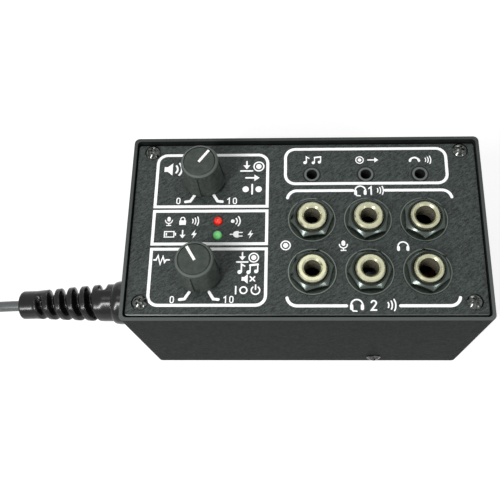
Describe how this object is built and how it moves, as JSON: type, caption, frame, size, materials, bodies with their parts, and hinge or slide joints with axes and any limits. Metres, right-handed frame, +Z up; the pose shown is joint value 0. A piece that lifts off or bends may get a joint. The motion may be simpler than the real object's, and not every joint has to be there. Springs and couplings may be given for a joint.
{
  "type": "portable aviation intercom",
  "caption": "Portable intercom box for two headsets: drafted case, recessed panel, two push-and-turn dials, headset jacks, lamps and a coiled lead.",
  "frame": {"origin": "on the table under the middle of the case", "axes": "+X to the right as the panel reads, +Y to the back, +Z up out of the panel"},
  "size_m": [0.2942, 0.0796, 0.0734],
  "materials": {
    "case_plastic": "fine moulded texture",
    "panel_finish": "satin with a fine mottle",
    "black_screw": "black oxide",
    "nickel": "bright",
    "black_metal": "gloss black",
    "red_lens": "diffuse dome",
    "green_lens": "diffuse dome",
    "board_green": "solder mask",
    "brass": "plain",
    "steel": "plain",
    "component_black": "moulded",
    "battery_case": "printed tin",
    "relief_rubber": "gloss moulded",
    "cord_jacket": "satin",
    "plug_metal": "polished",
    "plug_barrel": "moulded",
    "knob_soft": "soft touch",
    "knob_cap": "soft touch",
    "pointer_white": "inlay",
    "rotor_plastic": "moulded",
    "pot_metal": "plated",
    "contact_brass": "spring",
    "small_jack_black": "moulded",
    "jack_nickel": "nickel plated"
  },
  "bodies": {
    "intercom": {"case_tub": "case_plastic", "face_panel": "panel_finish", "panel_screws": "black_screw", "vol_pot": "pot_metal", "vol_switch": "component_black", "sq_pot": "pot_metal", "sq_switch": "component_black", "pot_washers": "nickel", "pot_nuts": "nickel", "pilot_ptt_jack": "jack_nickel", "pilot_mic_jack": "jack_nickel", "pilot_ear_jack": "jack_nickel", "copilot_ptt_jack": "jack_nickel", "copilot_mic_jack": "jack_nickel", "copilot_ear_jack": "jack_nickel", "pilot_ptt_contacts": "contact_brass", "pilot_mic_contacts": "contact_brass", "pilot_ear_contacts": "contact_brass", "copilot_ptt_contacts": "contact_brass", "copilot_mic_contacts": "contact_brass", "copilot_ear_contacts": "contact_brass", "jack_washers": "black_metal", "jack_nuts": "black_metal", "music_jack": "small_jack_black", "recorder_jack": "small_jack_black", "phone_jack": "small_jack_black", "red_lamp": "red_lens", "green_lamp": "green_lens", "circuit_board": "board_green", "board_spacers": "brass", "board_screws": "steel", "board_parts": "component_black", "battery": "battery_case", "battery_snap": "component_black", "battery_strap": "steel", "strap_screw": "black_screw", "strap_nut": "steel", "strain_relief": "relief_rubber", "strain_relief_nut": "black_metal", "cord_lead": "cord_jacket", "cord_coil": "cord_jacket", "cord_split": "relief_rubber", "mic_tail": "cord_jacket", "phone_tail": "cord_jacket", "mic_plug_pin": "plug_metal", "mic_plug_barrel": "plug_barrel", "phone_plug_pin": "plug_metal", "phone_plug_barrel": "plug_barrel"},
    "vol_rotor": {"vol_rotor": "rotor_plastic"},
    "vol_dial": {"vol_knob": "knob_soft", "vol_knob_cap": "knob_cap", "vol_pointer": "pointer_white", "vol_shaft": "steel"},
    "sq_rotor": {"sq_rotor": "rotor_plastic"},
    "sq_dial": {"sq_knob": "knob_soft", "sq_knob_cap": "knob_cap", "sq_pointer": "pointer_white", "sq_shaft": "steel"}
  },
  "joints": [
    {"name": "vol_turn", "type": "hinge", "parent": "intercom", "child": "vol_rotor", "pos_m": [-0.0341, 0.0169, 0.052], "axis": [0, 0, -1], "range_deg": [-187, 113]},
    {"name": "vol_push", "type": "slide", "parent": "vol_rotor", "child": "vol_dial", "axis": [0, 0, -1], "range_m": [0, 0.0015], "stiffness_N_per_m": 1500, "springref_m": -0.001},
    {"name": "sq_turn", "type": "hinge", "parent": "intercom", "child": "sq_rotor", "pos_m": [-0.0341, -0.0167, 0.052], "axis": [0, 0, -1], "range_deg": [-119, 181]},
    {"name": "sq_push", "type": "slide", "parent": "sq_rotor", "child": "sq_dial", "axis": [0, 0, -1], "range_m": [0, 0.0015], "stiffness_N_per_m": 1500, "springref_m": -0.001}
  ]
}
